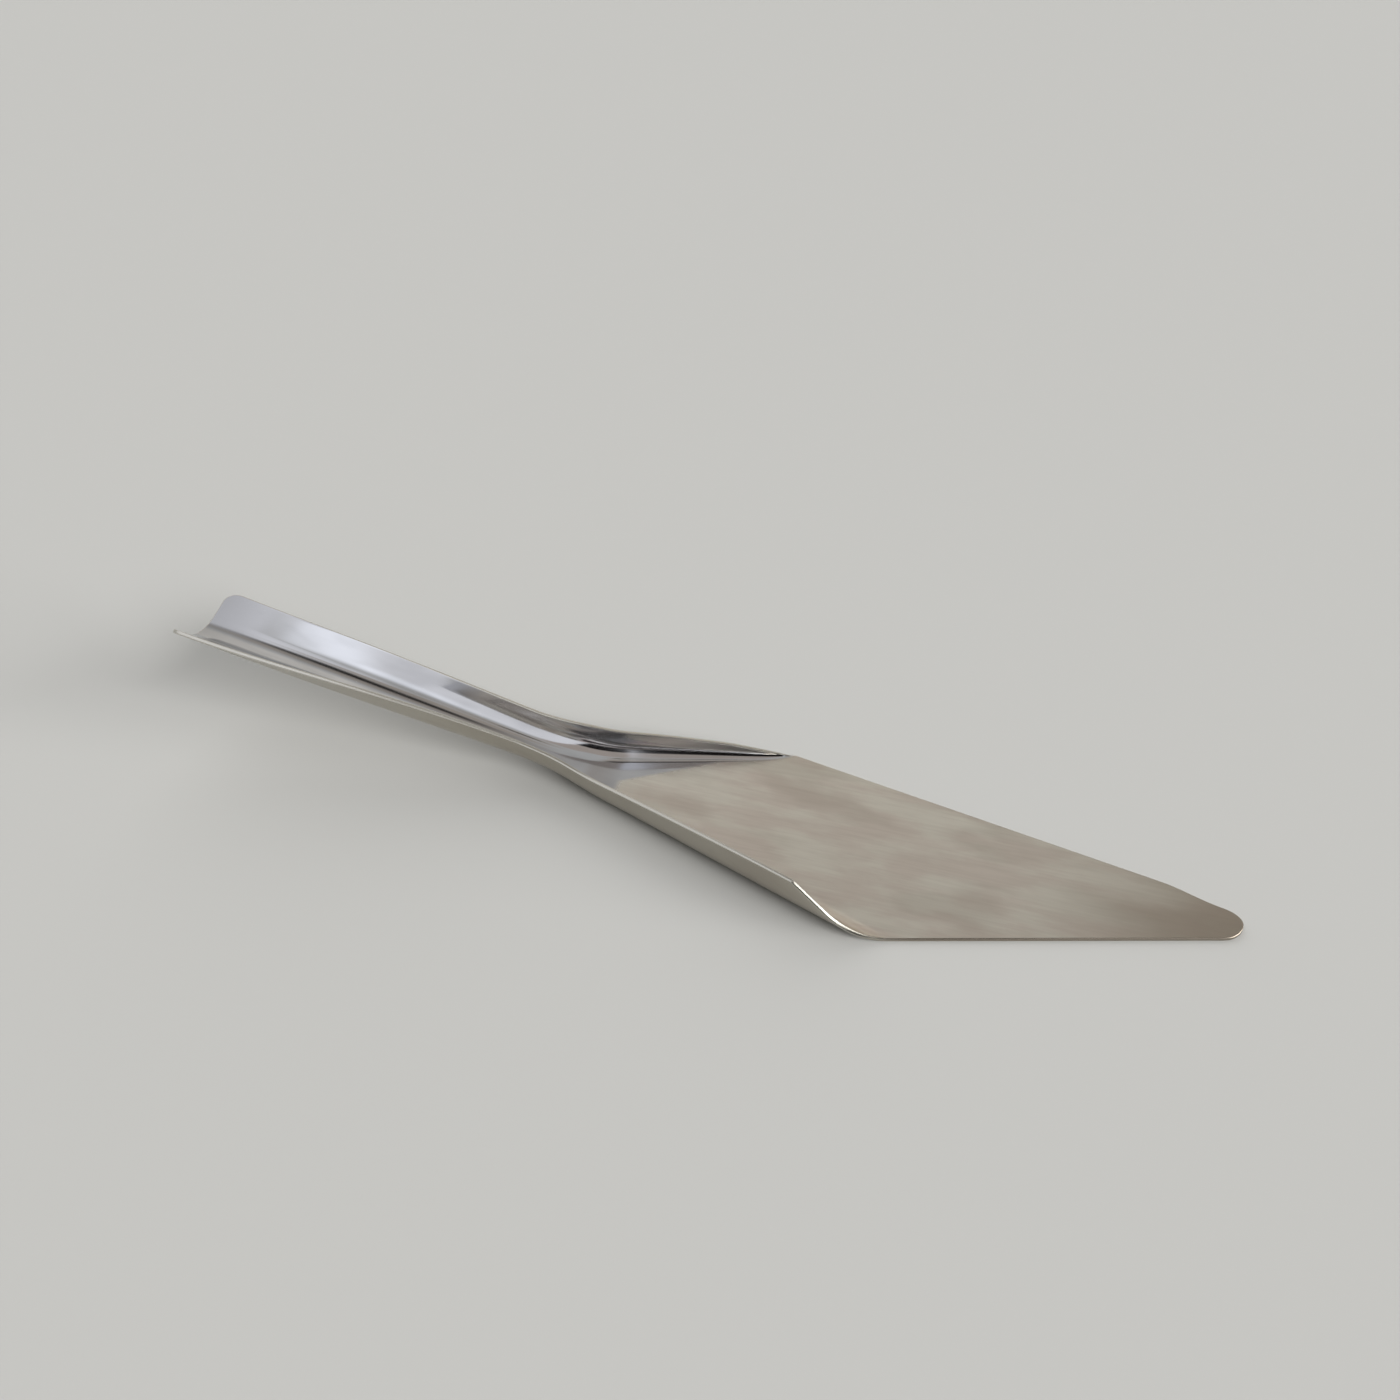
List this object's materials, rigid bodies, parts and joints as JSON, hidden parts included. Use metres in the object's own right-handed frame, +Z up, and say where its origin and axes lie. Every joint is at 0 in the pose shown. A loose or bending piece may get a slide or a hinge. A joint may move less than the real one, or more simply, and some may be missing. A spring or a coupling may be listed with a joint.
{
  "type": "cake server",
  "caption": "Cake server folded from a single steel sheet: flat pointed blade, upturned sides at the shoulder and an open channel handle.",
  "frame": {"origin": "on the blade's flat underside, in the handle's middle plane, at the station of the blade's left corner", "axes": "+X from the handle to the tip, +Y to the left of the person holding it, +Z up out of the blade"},
  "size_m": [0.2923, 0.0604, 0.0394],
  "materials": {
    "steel": "satin, polished in the channel, fine lengthwise brushing on the blade"
  },
  "bodies": {
    "root": {"server_body": "steel"}
  },
  "joints": []
}
